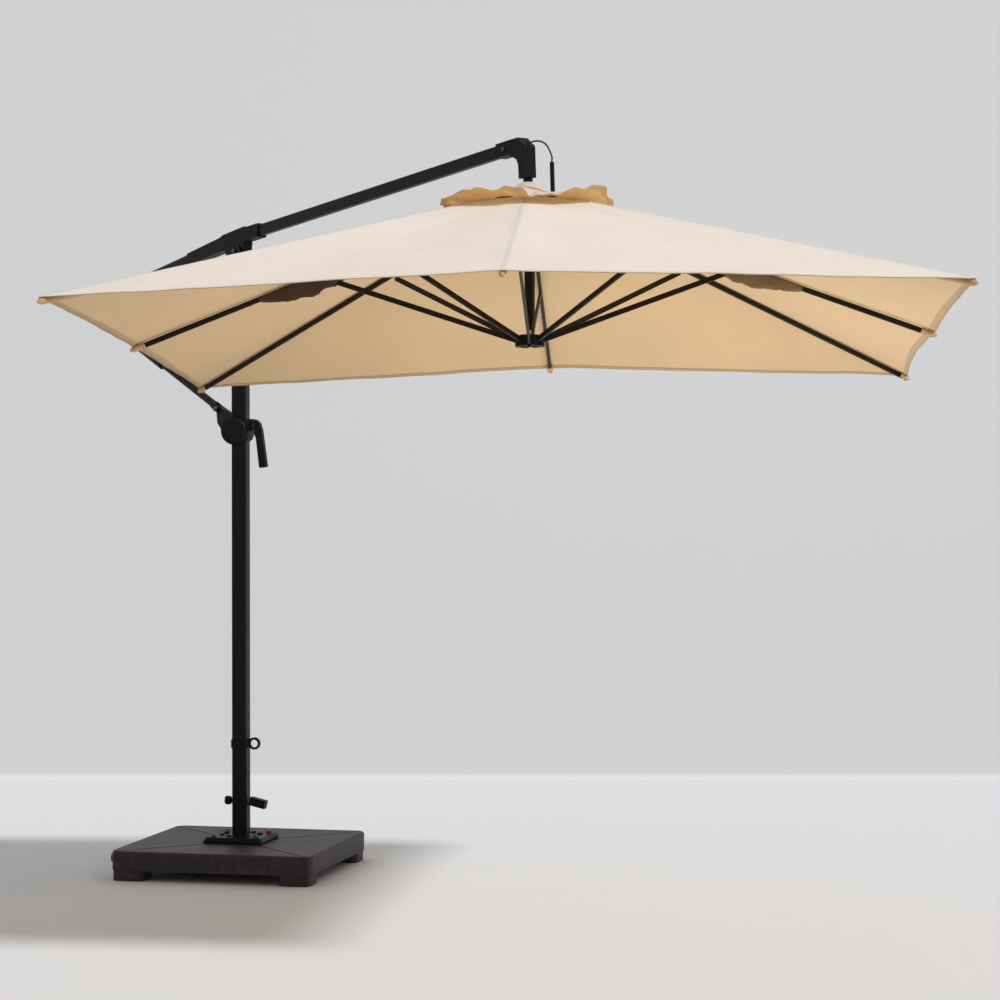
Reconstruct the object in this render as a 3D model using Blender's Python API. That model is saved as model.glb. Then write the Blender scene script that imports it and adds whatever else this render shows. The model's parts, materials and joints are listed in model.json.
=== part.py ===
"""Cantilever parasol: square canopy hung from an arm on an offset mast with a weighted base.

Metres, +Z up. The origin is on the mast's axis at the floor, and +X runs from the mast
towards the canopy's crown, so the arm and its strut lie in the plane Y = 0.
"""

import math

import bmesh
import bpy
from mathutils import Matrix, Vector

# ---- driving dimensions -------------------------------------------------------------------
GAP = 0.0003              # left between two pieces that touch

CANOPY_SIDE = 2.70        # square canopy, corner to corner along a side
CROWN = Vector((1.923, 0.001, 2.528))  # where the crown axis meets the fabric's peak
ARM_TILT = math.radians(3.84)         # crown axis leans, mast side low
SIDE_LEAN = math.radians(-1.95)       # and sideways, +Y side low
CANOPY_YAW = math.radians(50.9)       # the canopy's own X axis about the crown axis

HUB_PIVOT_R = 0.035       # rib and strut pivots, from the crown axis
RIB_PIVOT_Z = -0.030
RUNNER_PIVOT_Z = -0.522
SIDE_RIB_END = (1.342, -0.525)        # radius and height of the end of ribs 1 and 5
FRONT_RIB_END = (1.342, -0.482)       # ribs 3 and 7
CORNER_RIB_END = (1.909, -0.534)      # ribs 2, 4, 6 and 8
SIDE_JOINT_AT = 0.700      # strut joint, along the rib from its pivot; ribs 3 and 7 follow
CORNER_JOINT_AT = 0.700
JOINT_DROP = 0.022        # strut joint, below the rib's own axis
RIB_SECTION = (0.012, 0.018)
STRUT_SECTION = (0.010, 0.018)
FABRIC_LIFT = 0.0115      # underside of the fabric above a rib's axis
FABRIC_THICK = 0.002
HEM_HOLLOW = 0.020        # how far the hem curves in between two ribs
VENT_HALF = 0.13
FLAP_HALF = 0.285

BASE_SIDE = 0.80
BASE_YAW = math.radians(42.0)
FOOT_HEIGHT = 0.040
TANK_TOP = 0.114
TANK_WALL = 0.004
PLATE_SIDE = 0.24
PLATE_TOP = 0.138

MAST_SIDE = 0.060
MAST_WALL = 0.0025
MAST_BOTTOM = PLATE_TOP + 0.001
MAST_TOP = 2.362
HEAD_PIVOT = Vector((0.0, 0.0, 2.425))

ARM_SECTION = (0.030, 0.043)          # width, height
ARM_WALL = 0.0025
ARM_JOIN = Vector((0.0, 0.0, 2.480))  # where the arm's and the tail's axes meet
ARM_SLOPE = math.atan(0.1017)
TAIL_SLOPE = math.atan(0.168)
ARM_REACH = 1.875
TAIL_REACH = 1.315
ELBOW_WALL = 0.003
ELBOW_TOP = 0.146         # above the crown
TAIL_PIVOT = Vector((-1.27, 0.0, 2.262))
SLIDER_PIVOT = Vector((-0.165, 0.0, 1.810))
SLIDER_Z = 1.722          # the drum's centre
DRUM_RADIUS = 0.055
DRUM_HALF = 0.046
CRANK_Z = 1.745
RING_Z = 0.497
RING_EYE_AT = 0.054        # the eye's centre, from the mast's axis
PEDAL_Z = 0.272

ROUND = 24                # sides of a round piece

RIGHT = Vector((math.cos(BASE_YAW), math.sin(BASE_YAW), 0.0))    # a mast face's outward normal
FRONT = Vector((math.sin(BASE_YAW), -math.cos(BASE_YAW), 0.0))   # the next face's
UP = Vector((0.0, 0.0, 1.0))


# ---- tools --------------------------------------------------------------------------------
def clear_scene():
    for obj in list(bpy.data.objects):
        bpy.data.objects.remove(obj)


def material(name, colour, roughness, metallic=0.0):
    found = bpy.data.materials.get(name)
    if found:
        return found
    made = bpy.data.materials.new(name)
    made.use_nodes = True
    shader = made.node_tree.nodes["Principled BSDF"]
    shader.inputs["Base Color"].default_value = (*colour, 1.0)
    shader.inputs["Roughness"].default_value = roughness
    shader.inputs["Metallic"].default_value = metallic
    made.diffuse_color = (*colour, 1.0)
    return made


def painted_steel():
    return material("painted_steel", (0.016, 0.014, 0.013), 0.45)


def dark_plastic():
    return material("dark_plastic", (0.022, 0.020, 0.020), 0.5)


def base_plastic():
    return material("base_plastic", (0.035, 0.028, 0.028), 0.6)


def plated_steel():
    return material("plated_steel", (0.35, 0.33, 0.31), 0.35, 1.0)


def red_plastic():
    return material("red_plastic", (0.45, 0.02, 0.02), 0.45)


def sand():
    return material("sand", (0.45, 0.36, 0.24), 0.95)


def canopy_cloth():
    return material("canopy_cloth", (0.80, 0.72, 0.62), 0.9)


def vent_cloth():
    return material("vent_cloth", (0.62, 0.36, 0.12), 0.9)


def cord_weave():
    return material("cord_weave", (0.012, 0.012, 0.012), 0.8)


def add_object(name, mesh_maker, look, place=None):
    mesh = bpy.data.meshes.new(name)
    bmesh.ops.recalc_face_normals(mesh_maker, faces=mesh_maker.faces)
    mesh_maker.to_mesh(mesh)
    mesh_maker.free()
    mesh.materials.append(look)
    mesh.set_sharp_from_angle(angle=math.radians(35))
    obj = bpy.data.objects.new(name, mesh)
    bpy.context.scene.collection.objects.link(obj)
    if place is not None:
        obj.matrix_world = place
    return obj


def ring_faces(maker, low, high):
    count = len(low)
    for i in range(count):
        j = (i + 1) % count
        maker.faces.new((low[i], low[j], high[j], high[i]))


def prism(name, outline, z_low, z_high, look, place=None, hole=None, shrink=None):
    """An outline in XY raised along Z. A hole is an outline with as many points.
    shrink is (height, top outline): a sloped edge under the top face."""
    maker = bmesh.new()
    levels = [(outline, z_low), (outline, z_high)]
    if shrink:
        levels = [(outline, z_low), (outline, z_high - shrink[0]), (shrink[1], z_high)]
    rings = [[maker.verts.new((x, y, z)) for x, y in points] for points, z in levels]
    for low, high in zip(rings, rings[1:]):
        ring_faces(maker, low, high)
    if hole is None:
        maker.faces.new(rings[0])
        maker.faces.new(rings[-1])
    else:
        inner = [[maker.verts.new((x, y, z)) for x, y in hole] for z in (z_low, z_high)]
        ring_faces(maker, inner[0], inner[1])
        ring_faces(maker, rings[0], inner[0])
        ring_faces(maker, rings[-1], inner[1])
    return add_object(name, maker, look, place)


def rounded(width, depth, radius, steps=4):
    """A rectangle with round corners, counter-clockwise."""
    points = []
    for corner, (sx, sy) in enumerate(((1, 1), (-1, 1), (-1, -1), (1, -1))):
        cx, cy = sx * (width / 2 - radius), sy * (depth / 2 - radius)
        for k in range(steps + 1):
            a = math.radians(90 * corner + 90 * k / steps)
            points.append((cx + radius * math.cos(a), cy + radius * math.sin(a)))
    return points


def circle(radius, count=ROUND):
    step = 2 * math.pi / count
    return [(radius * math.cos(step * k), radius * math.sin(step * k)) for k in range(count)]


def turned(name, profile, look, place=None, count=ROUND):
    """A closed outline of (radius, height) turned about Z. A point on the axis has radius 0."""
    maker = bmesh.new()
    columns = []
    for radius, height in profile:
        if radius == 0:
            columns.append([maker.verts.new((0, 0, height))] * count)
        else:
            columns.append([maker.verts.new((x, y, height)) for x, y in circle(radius, count)])
    for low, high in zip(columns, columns[1:] + columns[:1]):
        for i in range(count):
            corners = [low[i], low[(i + 1) % count], high[(i + 1) % count], high[i]]
            corners = list(dict.fromkeys(corners))
            if len(corners) > 2:
                maker.faces.new(corners)
    return add_object(name, maker, look, place)


def frame_at(origin, along, up=UP):
    """A matrix whose Z runs along a direction, with its Y as near up as it can be."""
    z = Vector(along).normalized()
    x = Vector(up).cross(z).normalized()
    y = z.cross(x)
    return Matrix.Translation(origin) @ Matrix((x, y, z)).transposed().to_4x4()


def cut(obj, tool, operation="DIFFERENCE"):
    tool.hide_render = True
    tool.display_type = "WIRE"
    change = obj.modifiers.new(operation.lower(), "BOOLEAN")
    change.operation = operation
    change.solver = "EXACT"
    change.object = tool
    return obj


def side_plate(name, outline, thickness, look, y_middle=0.0):
    """An outline in the XZ plane with its thickness along Y."""
    maker = bmesh.new()
    low, high = [[maker.verts.new((x, y_middle + side * thickness / 2, z)) for x, z in outline]
                 for side in (-1, 1)]
    ring_faces(maker, low, high)
    maker.faces.new(low)
    maker.faces.new(high)
    return add_object(name, maker, look)


# ---- base ---------------------------------------------------------------------------------
def on_base():
    return Matrix.Rotation(BASE_YAW, 4, "Z")


def filler_place():
    """The filler neck's mouth direction is its Z, out of the tank's left side near a corner."""
    out = -RIGHT
    spot = out * (BASE_SIDE / 2) + FRONT * (BASE_SIDE / 2 - 0.090)
    return frame_at(spot + UP * (FOOT_HEIGHT + 0.037), out)


def base():
    outer = rounded(BASE_SIDE, BASE_SIDE, 0.045, 6)
    top = rounded(BASE_SIDE - 0.012, BASE_SIDE - 0.012, 0.039, 6)
    tank = prism("base_tank", outer, FOOT_HEIGHT + GAP, TANK_TOP, base_plastic(), on_base(),
                 shrink=(0.006, top))
    neck = prism("neck_body", circle(0.019), -0.012, 0.006, base_plastic(), filler_place())
    cut(tank, neck, "UNION")
    room = BASE_SIDE - 2 * TANK_WALL
    cavity = prism("tank_room", rounded(room, room, 0.041, 6), FOOT_HEIGHT + TANK_WALL,
                   TANK_TOP - TANK_WALL, base_plastic(), on_base())
    cut(tank, cavity)
    mouth = prism("neck_bore", circle(0.013), -0.03, 0.02, base_plastic(), filler_place())
    cut(tank, mouth)
    fill = room - 0.018
    prism("base_ballast", rounded(fill, fill, 0.034, 4), FOOT_HEIGHT + TANK_WALL + GAP,
          FOOT_HEIGHT + TANK_WALL + 0.054, sand(), on_base())
    cap = [(0, -0.006), (0.0125, -0.006), (0.0125, 0.0065), (0.0195, 0.0065), (0.0195, 0.017),
           (0.0175, 0.019), (0, 0.019)]
    turned("filler_cap", cap, dark_plastic(), filler_place(), 20)
    feet()


def feet():
    reach = BASE_SIDE / 2 - 0.070
    spots = [(reach, reach), (-reach, reach), (-reach, -reach), (reach, -reach)]
    for number, (x, y) in enumerate(spots, 1):
        place = on_base() @ Matrix.Translation((x, y, 0))
        prism(f"base_foot_{number}", rounded(0.128, 0.128, 0.03, 3), 0.0, FOOT_HEIGHT,
              base_plastic(), place)
    prism("centre_foot", rounded(0.12, 0.12, 0.03, 3), 0.0, FOOT_HEIGHT, base_plastic(), on_base())


def plate():
    body = prism("mast_plate", rounded(PLATE_SIDE, PLATE_SIDE, 0.012, 3), TANK_TOP + GAP, PLATE_TOP,
                 painted_steel(), on_base(),
                 shrink=(0.014, rounded(PLATE_SIDE - 0.018, PLATE_SIDE - 0.018, 0.010, 3)))
    for k in range(8):
        turn = math.radians(45 * k + 22.5)
        boss = Matrix.Translation(UP * PLATE_TOP + Vector((math.cos(turn), math.sin(turn), 0)) * 0.074)
        cut(body, turned(f"plate_boss_{k}", [(0, -0.004), (0.011, -0.004), (0.010, 0.006), (0, 0.007)],
                         painted_steel(), on_base() @ boss, 10), "UNION")
    reach = PLATE_SIDE / 2 - 0.034
    spots = [(reach, reach), (-reach, reach), (-reach, -reach), (reach, -reach)]
    head = [(0, 0), (0.014, 0), (0.014, 0.002), (0.0105, 0.0024), (0.0095, 0.0085), (0, 0.0095)]
    for number, (x, y) in enumerate(spots, 1):
        place = on_base() @ Matrix.Translation((x, y, PLATE_TOP + GAP))
        turned(f"plate_bolt_{number}", head, plated_steel(), place, 6)
    spigot = [(0, 0), (0.040, 0), (0.040, 0.0006), (0.0262, 0.0006), (0.0262, 0.22), (0, 0.22)]
    turned("pivot_spigot", spigot, plated_steel(), Matrix.Translation((0, 0, PLATE_TOP + GAP)))
    tab = Matrix.Translation(RIGHT * 0.096 - FRONT * 0.060 + UP * (PLATE_TOP + GAP)) @ on_base()
    prism("lock_tab", rounded(0.016, 0.024, 0.004, 3), 0.0, 0.013, red_plastic(), tab,
          shrink=(0.004, rounded(0.010, 0.018, 0.003, 3)))


# ---- mast ---------------------------------------------------------------------------------
def mast():
    outer = rounded(MAST_SIDE, MAST_SIDE, 0.009, 4)
    inner = rounded(MAST_SIDE - 2 * MAST_WALL, MAST_SIDE - 2 * MAST_WALL, 0.0065, 4)
    prism("mast_tube", outer, MAST_BOTTOM, MAST_TOP, painted_steel(), on_base(), hole=inner)
    mast_head()
    strap_ring()
    knob = [(0, 0), (0.009, 0), (0.009, 0.010), (0.016, 0.012), (0.018, 0.028), (0.014, 0.034),
            (0, 0.036)]
    place = frame_at(-RIGHT * (MAST_SIDE / 2 + GAP) + UP * PEDAL_Z, -RIGHT)
    turned("lock_knob", knob, dark_plastic(), place, 16)
    foot_pedal()


def mast_head():
    """A cap over the mast's top with two cheeks that hold the arm bracket's pin."""
    cap = prism("mast_head", rounded(0.070, 0.070, 0.012, 4), MAST_TOP - 0.075, MAST_TOP + 0.016,
                dark_plastic(), on_base())
    for side in (-1, 1):
        cheek = [(-0.046, MAST_TOP), (0.046, MAST_TOP), (0.044, 2.428), (0.026, 2.444),
                 (-0.026, 2.444), (-0.044, 2.428)]
        ear = side_plate(f"head_ear_{side + 1}", cheek, 0.008, dark_plastic(), side * 0.0245)
        cut(cap, ear, "UNION")
    sleeve = rounded(MAST_SIDE + 2 * GAP, MAST_SIDE + 2 * GAP, 0.009, 4)
    cut(cap, prism("head_bore", sleeve, MAST_TOP - 0.1, MAST_TOP + GAP, dark_plastic(), on_base()))
    cross = frame_at(HEAD_PIVOT + Vector((0, -0.05, 0)), (0, 1, 0))
    cut(cap, prism("pin_bore", circle(0.0064), 0.0, 0.1, dark_plastic(), cross))
    pin = [(0, 0), (0.0105, 0), (0.0105, 0.005), (0.006, 0.005), (0.006, 0.0635), (0, 0.0635)]
    head_side = frame_at(HEAD_PIVOT + Vector((0, -0.0345, 0)), (0, 1, 0))
    turned("head_pin", pin, plated_steel(), head_side)


def strap_ring():
    """A band round the mast with an upright eye for the closing strap."""
    hole = rounded(MAST_SIDE + 2 * GAP, MAST_SIDE + 2 * GAP, 0.009, 4)
    band = prism("strap_ring", rounded(0.068, 0.068, 0.012, 4), RING_Z - 0.016, RING_Z + 0.016,
                 dark_plastic(), on_base(), hole=hole)
    place = frame_at(RIGHT * RING_EYE_AT + UP * RING_Z - FRONT * 0.006, FRONT)
    eye = prism("ring_eye", circle(0.024, 20), 0.0, 0.012, dark_plastic(), place,
                hole=circle(0.0155, 20))
    cut(band, eye, "UNION")
    keep_out = prism("ring_mast", hole, RING_Z - 0.03, RING_Z + 0.03, dark_plastic(), on_base())
    return cut(band, keep_out)


def foot_pedal():
    """A short square bar out of the mast's right face, hinged so that its outer end goes down."""
    start = RIGHT * (MAST_SIDE / 2 + 0.0085) + UP * PEDAL_Z
    along = (RIGHT - UP * 0.24).normalized()
    place = frame_at(start, along)
    prism("foot_pedal", rounded(0.040, 0.033, 0.005, 3), 0.0, 0.064, painted_steel(), place)


# ---- slider, crank and strut ----------------------------------------------------------------
def slider():
    """A drum that slides on the mast, with a lug for the strut's foot."""
    centre = UP * SLIDER_Z - RIGHT * 0.012
    drum = prism("slider_housing", circle(DRUM_RADIUS, 32), -DRUM_HALF, DRUM_HALF, dark_plastic(),
                 frame_at(centre, FRONT))
    block = prism("slider_block", rounded(0.080, 0.080, 0.014, 4), SLIDER_Z - 0.036,
                  SLIDER_Z + 0.044, dark_plastic(), on_base())
    cut(drum, block, "UNION")
    seat = prism("crank_seat", circle(0.024, 20), 0.020, 0.052, dark_plastic(),
                 frame_at(UP * CRANK_Z, RIGHT))
    cut(drum, seat, "UNION")
    pivot = SLIDER_PIVOT
    lug = [(pivot.x - 0.011, pivot.z - 0.012), (pivot.x - 0.004, pivot.z - 0.056),
           (-0.075, SLIDER_Z - 0.046),
           (-0.030, SLIDER_Z - 0.034), (-0.030, SLIDER_Z + 0.042), (-0.070, SLIDER_Z + 0.070),
           (pivot.x + 0.004, pivot.z + 0.013), (pivot.x - 0.012, pivot.z + 0.006)]
    cut(drum, side_plate("slider_lug", lug, 0.018, dark_plastic()), "UNION")
    run = rounded(MAST_SIDE + 0.001, MAST_SIDE + 0.001, 0.009, 4)
    cut(drum, prism("slider_bore", run, SLIDER_Z - 0.2, SLIDER_Z + 0.2, dark_plastic(), on_base()))
    cross = frame_at(pivot + Vector((0, -0.05, 0)), (0, 1, 0))
    cut(drum, prism("lug_bore", circle(0.0054, 16), 0.0, 0.1, dark_plastic(), cross))
    cover = [(0, 0), (0.051, 0), (0.051, 0.005), (0.047, 0.009), (0.016, 0.009), (0.014, 0.0075),
             (0, 0.0075)]
    turned("slider_cover", cover, dark_plastic(), frame_at(centre + FRONT * (DRUM_HALF + GAP), FRONT),
           32)
    crank()


def crank():
    """A spindle out of the block's right face, with the bent handle hanging from it."""
    start = RIGHT * (0.052 + GAP) + UP * CRANK_Z
    boss = [(0, 0), (0.014, 0), (0.014, 0.007), (0, 0.007)]
    turned("crank_spindle", boss, plated_steel(), frame_at(start, RIGHT), 20)
    spot = start + RIGHT * (0.007 + GAP)
    bend = [(0.0, 0.022), (0.010, 0.018), (0.021, 0.006), (0.029, -0.020), (0.048, -0.160),
            (0.046, -0.165), (0.022, -0.168), (0.019, -0.164), (0.006, -0.052), (0.0, -0.036)]
    maker = bmesh.new()
    rings = []
    for side in (-0.014, 0.014):
        rings.append([maker.verts.new(RIGHT * out + UP * up + FRONT * side) for out, up in bend])
    ring_faces(maker, rings[0], rings[1])
    maker.faces.new(rings[0])
    maker.faces.new(rings[1])
    add_object("crank_handle", maker, dark_plastic(), Matrix.Translation(spot))


def strut():
    run = (TAIL_PIVOT - SLIDER_PIVOT)
    length = run.length
    place = frame_at(SLIDER_PIVOT, run)
    tube_ends = (0.050, length - 0.125)
    prism("strut_tube", circle(0.015), tube_ends[0], tube_ends[1], painted_steel(), place,
          hole=circle(0.0128))
    prism("strut_collar", circle(0.0225), 0.50, 0.705, dark_plastic(), place,
          hole=circle(0.015 + GAP))
    foot = strut_fork("strut_foot", place, -0.014, tube_ends[0], 0.0095, 1)
    cross = frame_at(SLIDER_PIVOT + Vector((0, -0.05, 0)), (0, 1, 0))
    cut(foot, prism("foot_bore", circle(0.0054, 16), 0.0, 0.1, dark_plastic(), cross))
    pin = [(0, -0.011), (0.010, -0.010), (0.010, -GAP), (0.005, -GAP), (0.005, 0.0312),
           (0.0085, 0.0315), (0.0085, 0.037), (0, 0.038)]
    turned("strut_pin", pin, plated_steel(),
           frame_at(SLIDER_PIVOT + Vector((0, -0.0155, 0)), (0, 1, 0)), 16)
    strut_fork("strut_head", place, length + 0.016, tube_ends[1], 0.0165, -1)


def strut_fork(name, place, tip, root, inner_half, way):
    """Two cheeks from a plug at the tube's end; the part they hold turns between them.
    way is 1 where the tip is below the root along the strut, and -1 where it is above."""
    low, high = sorted((tip, root - way * GAP))
    body = prism(name, rounded(2 * inner_half + 0.012, 0.026, 0.004, 3), low, high,
                 dark_plastic(), place)
    slot_low, slot_high = sorted((tip - way * 0.02, root - way * 0.016))
    slot = prism(name + "_slot", rounded(2 * inner_half, 0.08, 0.001, 1), slot_low, slot_high,
                 dark_plastic(), place)
    return cut(body, slot)


# ---- arm ----------------------------------------------------------------------------------
def arm_direction():
    return Vector((math.cos(ARM_SLOPE), 0.0, math.sin(ARM_SLOPE)))


def tail_direction():
    return Vector((-math.cos(TAIL_SLOPE), 0.0, -math.sin(TAIL_SLOPE)))


def section(extra=0.0, radius=0.006):
    return rounded(ARM_SECTION[0] + extra, ARM_SECTION[1] + extra, radius, 3)


def arm():
    inner = section(-2 * ARM_WALL, 0.0035)
    along, back = frame_at(ARM_JOIN, arm_direction()), frame_at(ARM_JOIN, tail_direction())
    prism("arm_tube", section(), 0.016, ARM_REACH, painted_steel(), along, hole=inner)
    prism("tail_tube", section(), 0.016, TAIL_REACH, painted_steel(), back, hole=inner)
    plug = prism("tail_cap", section(), TAIL_REACH + GAP, TAIL_REACH + 0.005, dark_plastic(), back)
    stub = prism("tail_plug", section(-2 * ARM_WALL - 0.0008, 0.003), TAIL_REACH - 0.02,
                 TAIL_REACH + 0.003, dark_plastic(), back)
    cut(plug, stub, "UNION")
    arm_bracket(along, back)
    elbow(along)


def arm_bracket(along, back):
    """One casting: a sleeve for the arm, a sleeve for the tail and the lug for the head pin."""
    half = ARM_SECTION[1] / 2 + 0.005

    def at(distance, height, direction):
        spot = ARM_JOIN + direction * distance
        return (spot.x, spot.z + height)

    arm_way, tail_way = arm_direction(), tail_direction()
    outline = [at(0.40, half - 0.003, tail_way), at(0.13, half, tail_way),
               at(0.11, half + 0.005, tail_way), at(0.06, half + 0.005, arm_way),
               at(0.075, half, arm_way), at(0.165, half, arm_way), at(0.165, -half, arm_way),
               at(0.060, -half, arm_way), (0.052, 2.414), (0.044, 2.404), (-0.068, 2.404),
               (-0.080, 2.412), (-0.086, 2.434), at(0.40, -half + 0.003, tail_way)]
    body = side_plate("arm_bracket", outline, 0.040, dark_plastic())
    grip = section(2 * GAP)
    cut(body, prism("bracket_arm_bore", grip, 0.0155, 0.25, dark_plastic(), along))
    cut(body, prism("bracket_tail_bore", grip, 0.0155, 0.50, dark_plastic(), back))
    cross = frame_at(HEAD_PIVOT + Vector((0, -0.05, 0)), (0, 1, 0))
    cut(body, prism("bracket_pin_bore", circle(0.0064), 0.0, 0.1, dark_plastic(), cross))


def elbow(along):
    """The casting at the arm's end: the arm goes in from the side, the post from below."""
    half = ARM_SECTION[1] / 2 + ELBOW_WALL
    upright = canopy_frame() @ Matrix.Rotation(-CANOPY_YAW, 4, "Z")

    def on_arm(distance, height):
        spot = along @ Vector((0, height, distance))
        return (spot.x, spot.z)

    def on_post(out, height):
        spot = upright @ Vector((out, 0, height))
        return (spot.x, spot.z)

    wide = 0.0225
    outline = [on_arm(1.775, half), on_arm(1.86, half), on_arm(1.905, half - 0.001)]
    for k in range(5):
        turn = math.radians(10 + 80 * k / 4)
        outline.append(on_post(wide - 0.016 + 0.016 * math.sin(turn),
                               ELBOW_TOP - 0.016 + 0.016 * math.cos(turn)))
    outline += [on_post(wide - 0.001, 0.030), on_post(-wide + 0.001, 0.030),
                on_post(-wide, 0.078), on_post(-wide - 0.010, 0.098), on_arm(1.845, -half),
                on_arm(1.775, -half)]
    body = side_plate("elbow", outline, ARM_SECTION[0] + 0.012, dark_plastic())
    cut(body, prism("elbow_arm_bore", section(2 * GAP), 1.70, ARM_REACH + GAP, dark_plastic(), along))
    cut(body, prism("elbow_post_bore", circle(0.016 + GAP), -0.10, 0.072, dark_plastic(),
                    canopy_frame()))
    cut(body, prism("elbow_cord_bore", circle(0.0055, 12), 1.80, 2.10, dark_plastic(), along))
    bolt = [(0, 0), (0.0085, 0), (0.0085, 0.003), (0.006, 0.0045), (0, 0.0045)]
    spot = ARM_JOIN + arm_direction() * 1.82 - Vector((0, ARM_SECTION[0] / 2 + 0.006 + GAP, 0))
    turned("elbow_bolt", bolt, plated_steel(), frame_at(spot, (0, -1, 0)), 16)


# ---- canopy -------------------------------------------------------------------------------
def canopy_frame():
    """Origin at the crown, Z up the leaning crown axis, X across the canopy's side."""
    tilt = Matrix.Rotation(-ARM_TILT, 4, "Y")
    lean = Matrix.Rotation(SIDE_LEAN, 4, "X")
    return Matrix.Translation(CROWN) @ tilt @ lean @ Matrix.Rotation(CANOPY_YAW, 4, "Z")


def is_corner(number):
    return number % 2 == 0


def rib_azimuth(number):
    """Odd ribs run to the middle of a side, even ribs to a corner."""
    return math.radians(45 * (number - 1))


def rib_end(number):
    """Radius and height of a rib's outer end."""
    if is_corner(number):
        return CORNER_RIB_END
    return SIDE_RIB_END if number in (1, 5) else FRONT_RIB_END


def rib_angle(number):
    """How far the rib slopes down from level."""
    radius, height = rib_end(number)
    return math.atan2(RIB_PIVOT_Z - height, radius - HUB_PIVOT_R)


def rib_length(number):
    radius, height = rib_end(number)
    return math.hypot(radius - HUB_PIVOT_R, height - RIB_PIVOT_Z)


def rib_place(number):
    """X along the rib, Z up from it, origin on its pivot."""
    turn = Matrix.Rotation(rib_azimuth(number), 4, "Z")
    pivot = Matrix.Translation((HUB_PIVOT_R, 0, RIB_PIVOT_Z))
    return canopy_frame() @ turn @ pivot @ Matrix.Rotation(rib_angle(number), 4, "Y")


def strut_joint(number):
    """Radius and height of the joint between a rib and its strut."""
    angle = rib_angle(number)
    if is_corner(number):
        along = CORNER_JOINT_AT
    elif number in (1, 5):
        along = SIDE_JOINT_AT
    else:
        half_drop = (RIB_PIVOT_Z - RUNNER_PIVOT_Z) / 2
        along = (half_drop - JOINT_DROP * math.cos(angle)) / math.sin(angle)
    radius = HUB_PIVOT_R + along * math.cos(angle) - JOINT_DROP * math.sin(angle)
    return radius, RIB_PIVOT_Z - along * math.sin(angle) - JOINT_DROP * math.cos(angle)


def slotted_hub(name, radius, z_low, z_high, bore, slot_from, slot_width, look):
    """A disc with a radial slot for each rib or strut."""
    body = prism(name, circle(radius, 32), z_low, z_high, look, canopy_frame(),
                 hole=circle(bore, 32))
    for number in range(1, 9):
        turn = Matrix.Rotation(rib_azimuth(number), 4, "Z")
        shift = Matrix.Translation((slot_from + 0.05, 0, 0))
        slot = prism(f"{name}_slot_{number}", rounded(0.10, slot_width, 0.001, 1), z_low - 0.02,
                     z_high + 0.02, look, canopy_frame() @ turn @ shift)
        cut(body, slot)
    return body


def post():
    profile = [(0.016, 0.070), (0.016, -0.455), (0.011, -0.458), (0.011, -0.485),
               (0.0075, -0.485), (0.0075, 0.070)]
    turned("post_tube", profile, painted_steel(), canopy_frame(), 20)
    slotted_hub("crown_hub", 0.050, -0.052, -0.010, 0.016 + GAP, 0.0215, 0.0128, dark_plastic())
    slotted_hub("runner_hub", 0.050, -0.540, -0.504, 0.0135, 0.0165, 0.0114, dark_plastic())


def ribs():
    width, height = RIB_SECTION
    for number in range(1, 9):
        turn = Matrix.Rotation(math.radians(90), 4, "Y")
        place = rib_place(number) @ turn
        prism(f"rib_{number}", rounded(height, width, 0.0035, 2), -0.010, rib_length(number),
              painted_steel(), place, hole=rounded(height - 0.0024, width - 0.0024, 0.0023, 2))
        rib_strut(number)


def rib_strut(number):
    width, height = STRUT_SECTION
    radius, joint_z = strut_joint(number)
    rise = joint_z - RUNNER_PIVOT_Z
    length = math.hypot(radius - HUB_PIVOT_R, rise)
    angle = math.atan2(rise, radius - HUB_PIVOT_R)
    turn = Matrix.Rotation(rib_azimuth(number), 4, "Z")
    pivot = Matrix.Translation((HUB_PIVOT_R, 0, RUNNER_PIVOT_Z))
    place = canopy_frame() @ turn @ pivot @ Matrix.Rotation(math.radians(90) - angle, 4, "Y")
    prism(f"rib_strut_{number}", rounded(height, width, 0.0025, 2), -0.008, length + 0.005,
          painted_steel(), place, hole=rounded(height - 0.002, width - 0.002, 0.0015, 2))


def panel_height(share, number):
    """Fabric underside over a rib, at a share of the way from the crown axis to its end."""
    radius = share * rib_end(number)[0]
    angle = rib_angle(number)
    line = RIB_PIVOT_Z - (radius - HUB_PIVOT_R) * math.tan(angle)
    return line + FABRIC_LIFT / math.cos(angle)


def rib_end_radius(number):
    return rib_end(number)[0] + 0.010


def fabric_point(sector, within, share):
    """A point on the fabric's underside between rib `sector` and the next one."""
    ends = []
    for number in (sector, sector % 8 + 1):
        radius = share * rib_end_radius(number)
        azimuth = rib_azimuth(number)
        reach = radius / rib_end_radius(number)
        ends.append(Vector((radius * math.cos(azimuth), radius * math.sin(azimuth),
                            panel_height(reach, number))))
    point = ends[0].lerp(ends[1], within)
    hollow = 1 - HEM_HOLLOW / CANOPY_SIDE * 2 * share * math.sin(math.pi * within)
    return Vector((point.x * hollow, point.y * hollow, point.z))


def fabric():
    """One thin closed sheet with a square vent in the middle."""
    steps, across = 9, 4
    vent_share = VENT_HALF / (CANOPY_SIDE / 2)
    maker = bmesh.new()
    layers = []
    for lift in (0.0, FABRIC_THICK):
        grid = []
        for row in range(steps + 1):
            share = vent_share + (1 - vent_share) * row / steps
            ring = []
            for sector in range(1, 9):
                for k in range(across):
                    point = fabric_point(sector, k / across, share)
                    ring.append(maker.verts.new(point + UP * lift))
            grid.append(ring)
        layers.append(grid)
    for grid in layers:
        for low, high in zip(grid, grid[1:]):
            ring_faces(maker, low, high)
    ring_faces(maker, layers[0][0], layers[1][0])
    ring_faces(maker, layers[0][-1], layers[1][-1])
    add_object("canopy_fabric", maker, canopy_cloth(), canopy_frame())


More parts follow.
